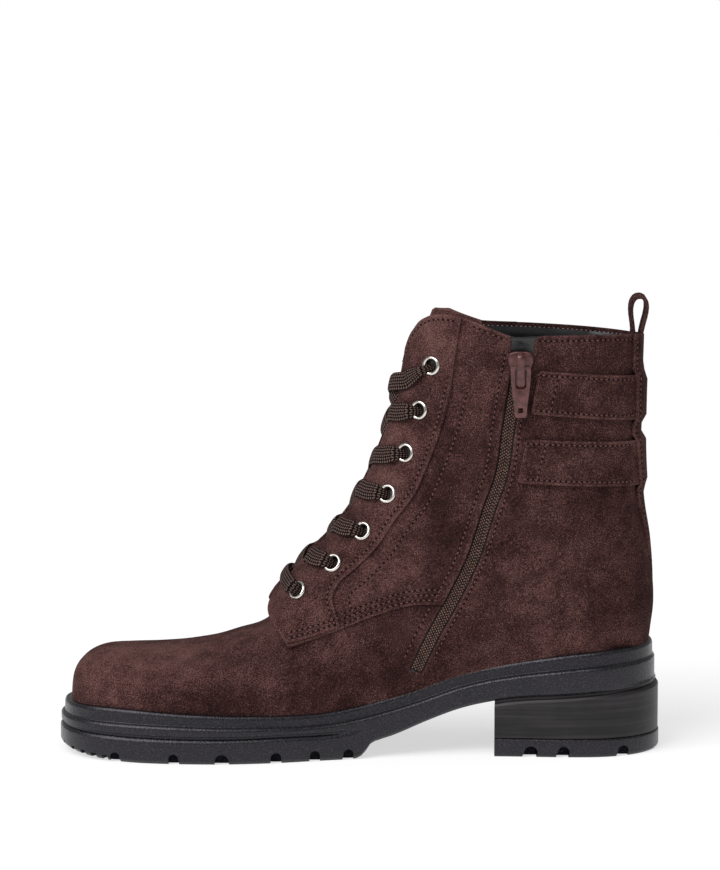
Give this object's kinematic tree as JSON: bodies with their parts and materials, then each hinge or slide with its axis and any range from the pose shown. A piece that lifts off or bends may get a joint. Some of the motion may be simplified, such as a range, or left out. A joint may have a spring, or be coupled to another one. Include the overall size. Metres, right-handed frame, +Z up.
{
  "type": "lace-up ankle boot",
  "caption": "Right suede ankle boot with lug sole, block heel, laced throat, heel straps, pull loop and an inner side zip.",
  "frame": {"origin": "on the floor under the middle of the boot's bounding box", "axes": "+Z up, +X towards the heel with the toe at -X, -Y towards the inner (medial) side"},
  "size_m": [0.282, 0.1001, 0.2136],
  "materials": {
    "suede": "brushed suede",
    "rubber": "satin",
    "heel_stack": "fine horizontal layers",
    "lining": "smooth",
    "lace": "woven",
    "nickel": "polished pale nickel",
    "zip_metal": "satin brown lacquer"
  },
  "bodies": {
    "boot": {"outsole": "rubber", "heel_block": "heel_stack", "heel_top_lift": "rubber", "insole": "lining", "upper": "suede", "tongue": "suede", "eyestay_medial": "suede", "eyestay_lateral": "suede", "backstay": "suede", "strap_upper_medial": "suede", "strap_upper_lateral": "suede", "strap_lower_medial": "suede", "strap_lower_lateral": "suede", "pull_loop": "suede", "zip_chain": "lace", "zip_slider": "zip_metal", "eyelet_medial_1": "nickel", "eyelet_medial_2": "nickel", "eyelet_medial_3": "nickel", "eyelet_medial_4": "nickel", "eyelet_medial_5": "nickel", "eyelet_medial_6": "nickel", "eyelet_medial_7": "nickel", "eyelet_lateral_1": "nickel", "eyelet_lateral_2": "nickel", "eyelet_lateral_3": "nickel", "eyelet_lateral_4": "nickel", "eyelet_lateral_5": "nickel", "eyelet_lateral_6": "nickel", "eyelet_lateral_7": "nickel", "lace_bar": "lace", "lace_crossing_1": "lace", "lace_crossing_2": "lace", "lace_crossing_3": "lace", "lace_crossing_4": "lace", "lace_crossing_5": "lace", "lace_crossing_6": "lace"},
    "pull_tab": {"zip_pull_tab": "zip_metal"}
  },
  "joints": [
    {"name": "pull_tab_swing", "type": "hinge", "parent": "boot", "child": "pull_tab", "pos_m": [0.0739, -0.0331, 0.1829], "axis": [-1, 0, 0], "range_deg": [0, 170]}
  ]
}
